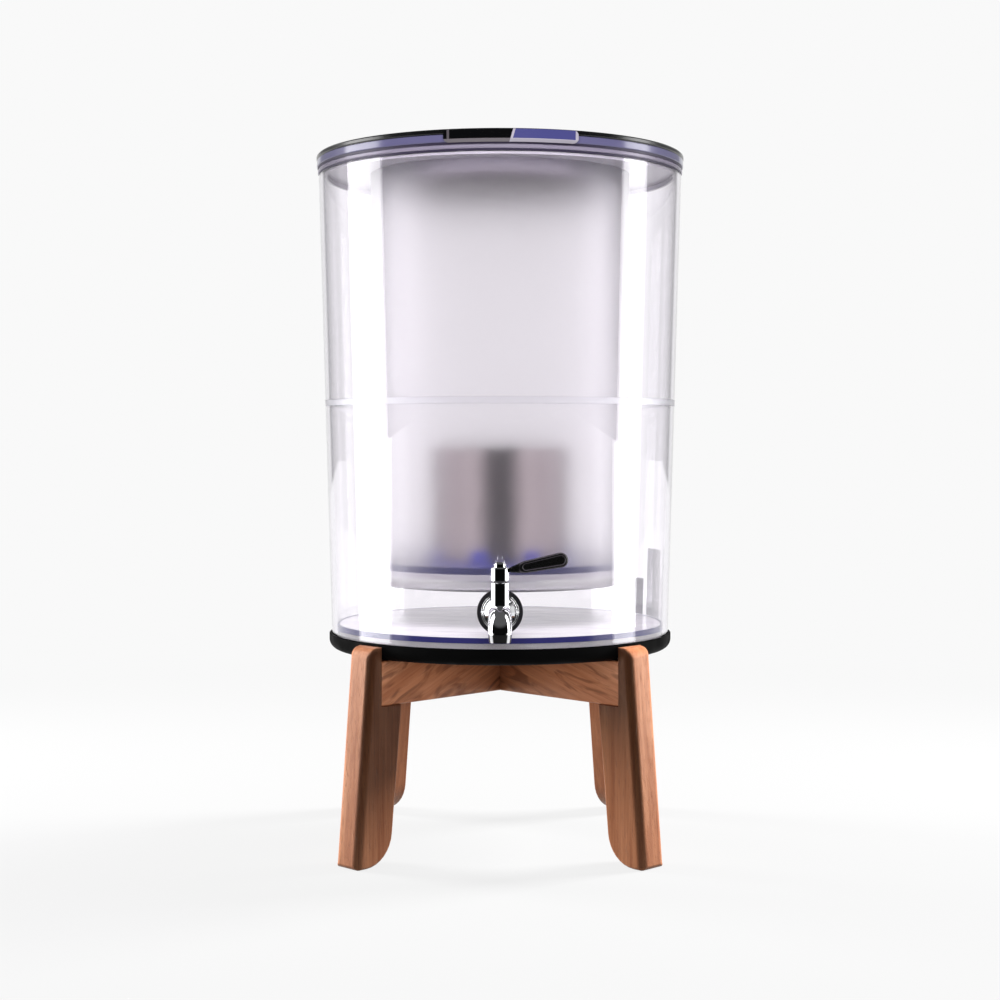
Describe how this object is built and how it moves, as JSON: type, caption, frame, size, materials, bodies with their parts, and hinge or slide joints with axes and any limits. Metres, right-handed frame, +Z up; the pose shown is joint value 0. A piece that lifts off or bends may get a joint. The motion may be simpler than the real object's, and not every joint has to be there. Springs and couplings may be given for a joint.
{
  "type": "gravity water filter with tap",
  "caption": "Countertop gravity water filter: frosted upper vessel with a filter cartridge inside a clear tapered tank with a lever tap, on a wooden cross stand.",
  "frame": {"origin": "centre of the stand's footprint, on the surface that it stands on, under the tank's axis", "axes": "+Z up along the tank's axis, -Y towards the tap, +X to the right seen from the tap"},
  "size_m": [0.296, 0.3348, 0.5482],
  "materials": {
    "wood": "dark oiled hardwood with a satin surface",
    "dowel_wood": "plain beech, hidden in the joints",
    "steel": "plain screw",
    "black_plastic": "polished black",
    "clear_acrylic": "clear, faintly lilac",
    "tinted_acrylic": "clear, tinted lilac",
    "dark_rubber": "matt",
    "blue_rubber": "matt dark blue",
    "grey_label": "thin bare film",
    "chrome": "mirror bright",
    "brass": "turned",
    "frosted_plastic": "frosted, lets light through",
    "white_plastic": "smooth white",
    "polished_steel": "polished stainless",
    "blue_plastic": "moulded blue",
    "carbon_media": "packed granules",
    "filter_felt": "white felt",
    "smoked_plastic": "smoked",
    "grip_plastic": "glossy dark blue-grey"
  },
  "bodies": {
    "stand": {"leg_front_left": "wood", "leg_front_right": "wood", "leg_back_left": "wood", "leg_back_right": "wood", "beam_lower": "wood", "beam_upper": "wood", "leg_dowels": "dowel_wood", "lap_screw": "steel"},
    "tank": {"base_tray": "black_plastic", "tank_lower_section": "clear_acrylic", "tank_joint_ring": "tinted_acrylic", "tank_upper_section": "clear_acrylic", "floor_ledge": "clear_acrylic", "tank_floor": "clear_acrylic", "floor_seal": "blue_rubber", "rim_gasket": "dark_rubber", "blank_labels": "grey_label", "tap_outer_gasket": "dark_rubber", "tap_escutcheon": "chrome", "tap_body": "chrome", "tap_gland": "brass", "tap_inner_gasket": "dark_rubber", "tap_locknut": "chrome"},
    "tap_valve": {"tap_plug": "chrome", "tap_plug_rings": "dark_rubber", "tap_cap_washer": "white_plastic", "tap_cap": "chrome", "tap_cap_screw": "chrome", "lever_arm": "chrome", "lever_grip": "black_plastic"},
    "upper_vessel": {"vessel_wall": "frosted_plastic", "vessel_hanger_ring": "frosted_plastic", "vessel_floor": "white_plastic", "vessel_seal": "blue_rubber", "cartridge_shell": "polished_steel", "cartridge_cap": "polished_steel", "cartridge_base": "blue_plastic", "cartridge_media": "carbon_media", "cartridge_pads": "filter_felt", "cartridge_washer": "white_plastic", "cartridge_nut_washer": "white_plastic", "cartridge_nut": "blue_plastic"},
    "lid": {"lid_plate": "black_plastic", "lid_ring": "tinted_acrylic", "lid_gasket": "dark_rubber", "lid_drum": "smoked_plastic", "lid_grip": "grip_plastic"}
  },
  "joints": [
    {"name": "tank_lift", "type": "slide", "parent": "stand", "child": "tank", "axis": [0, 0, 1], "range_m": [0, 0.05]},
    {"name": "lever_turn", "type": "hinge", "parent": "tank", "child": "tap_valve", "pos_m": [0, -0.16623, 0.1942], "axis": [0, 0, 1], "range_deg": [-90, 0]},
    {"name": "vessel_lift", "type": "slide", "parent": "tank", "child": "upper_vessel", "axis": [0, 0, 1], "range_m": [0, 0.34]},
    {"name": "lid_lift", "type": "slide", "parent": "upper_vessel", "child": "lid", "axis": [0, 0, 1], "range_m": [0, 0.12]}
  ]
}
